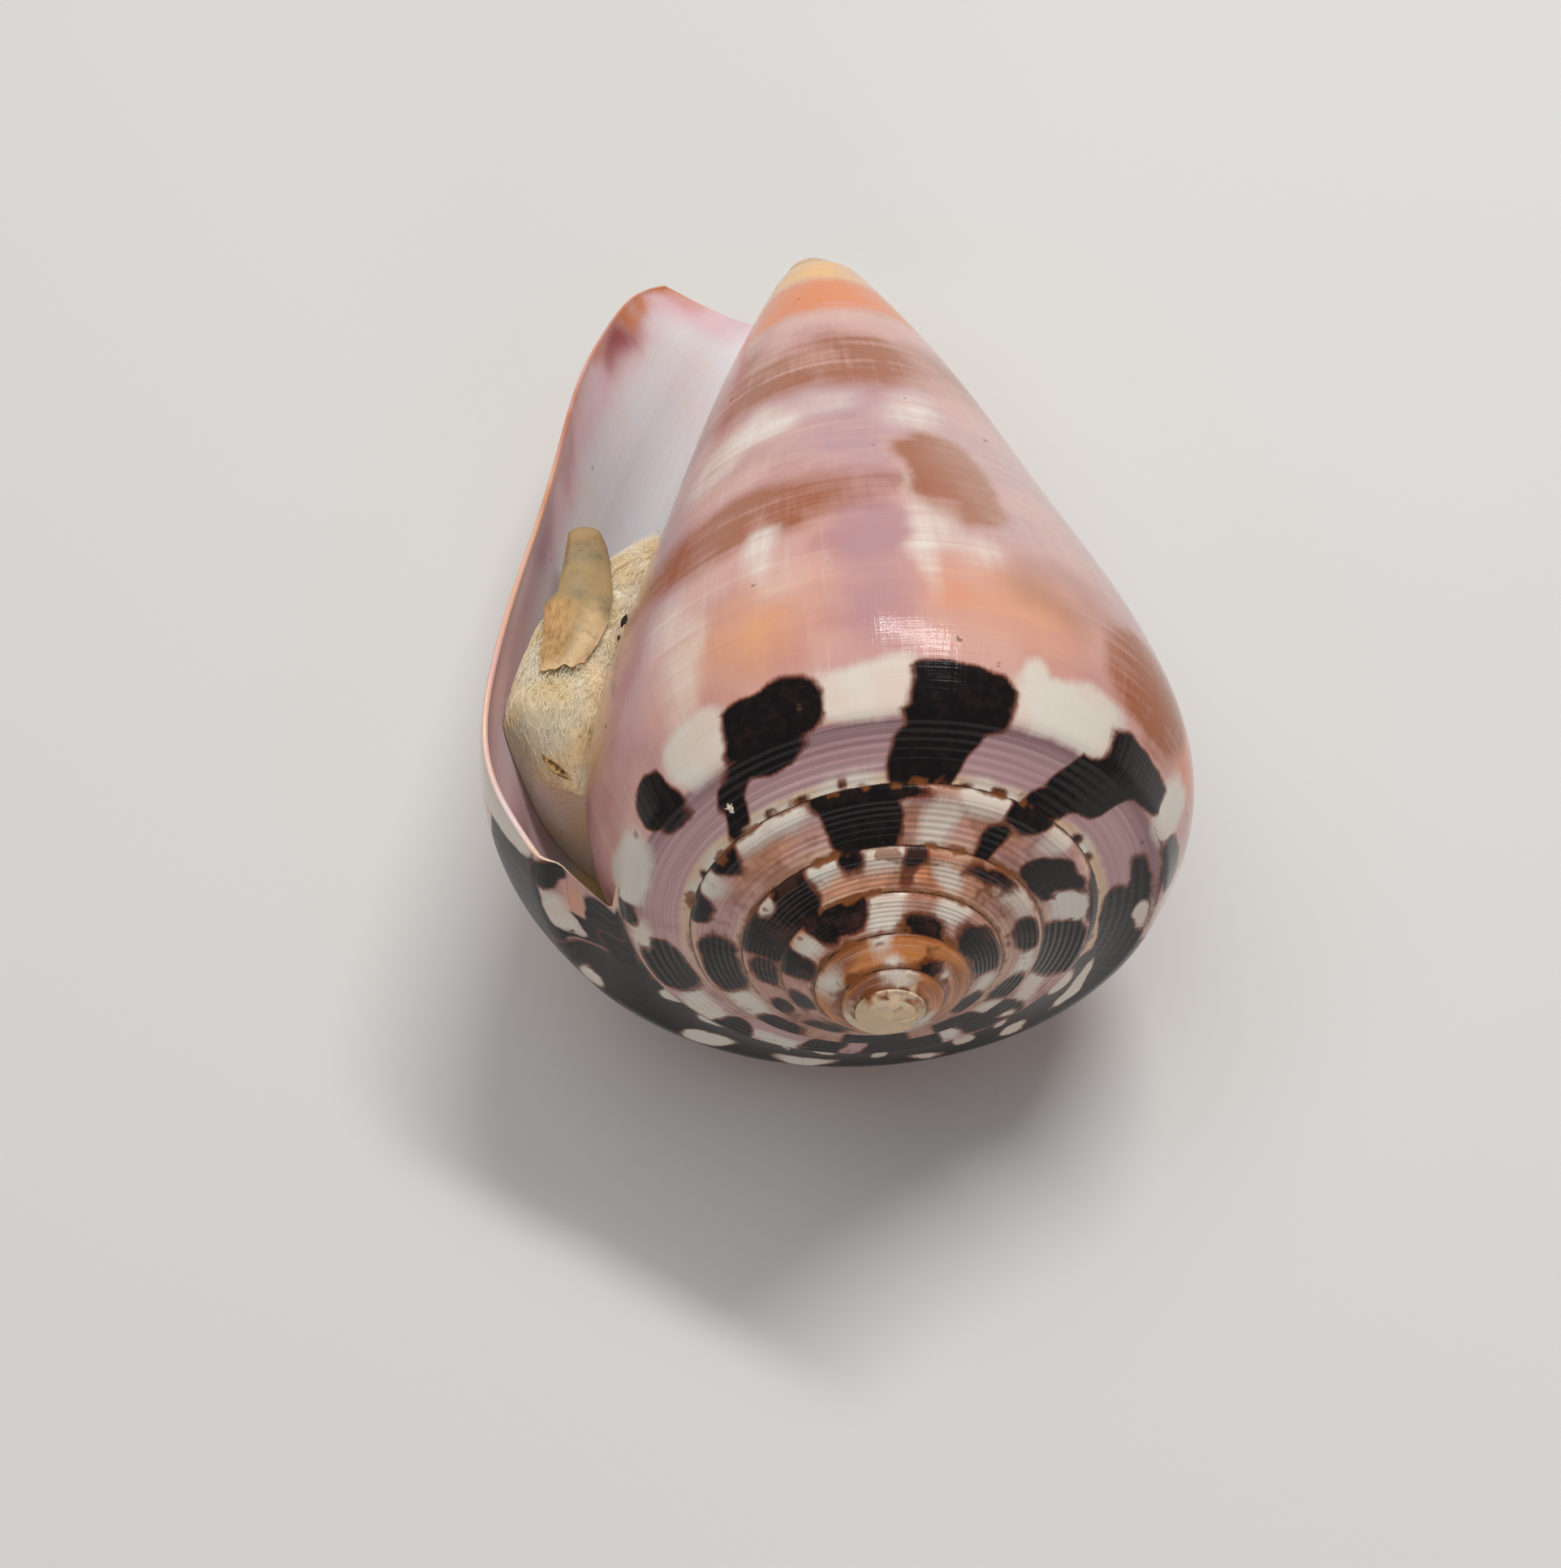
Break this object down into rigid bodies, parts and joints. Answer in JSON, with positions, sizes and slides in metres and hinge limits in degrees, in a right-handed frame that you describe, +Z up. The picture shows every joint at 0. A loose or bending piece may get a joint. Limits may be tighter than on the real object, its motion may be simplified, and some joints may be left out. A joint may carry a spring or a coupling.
{
  "type": "cone shell",
  "caption": "Glossy cone snail shell lying on its side, with a plug of cotton wool and a thin horny operculum in its long narrow aperture.",
  "frame": {"origin": "centre of the bounding box's bottom face, on the surface that the shell rests on", "axes": "+Y along the shell's length from the spire to the front tip, +Z up, the aperture on the -X side"},
  "size_m": [0.046, 0.0714, 0.0426],
  "materials": {
    "shell": "glossy, with brown spiral bands and black blotches on the shoulder",
    "cotton": "matted fibres, stained brown",
    "horn": "thin horny plate with dark specks"
  },
  "bodies": {
    "root": {"shell": "shell", "cotton_plug": "cotton", "operculum": "horn"}
  },
  "joints": []
}
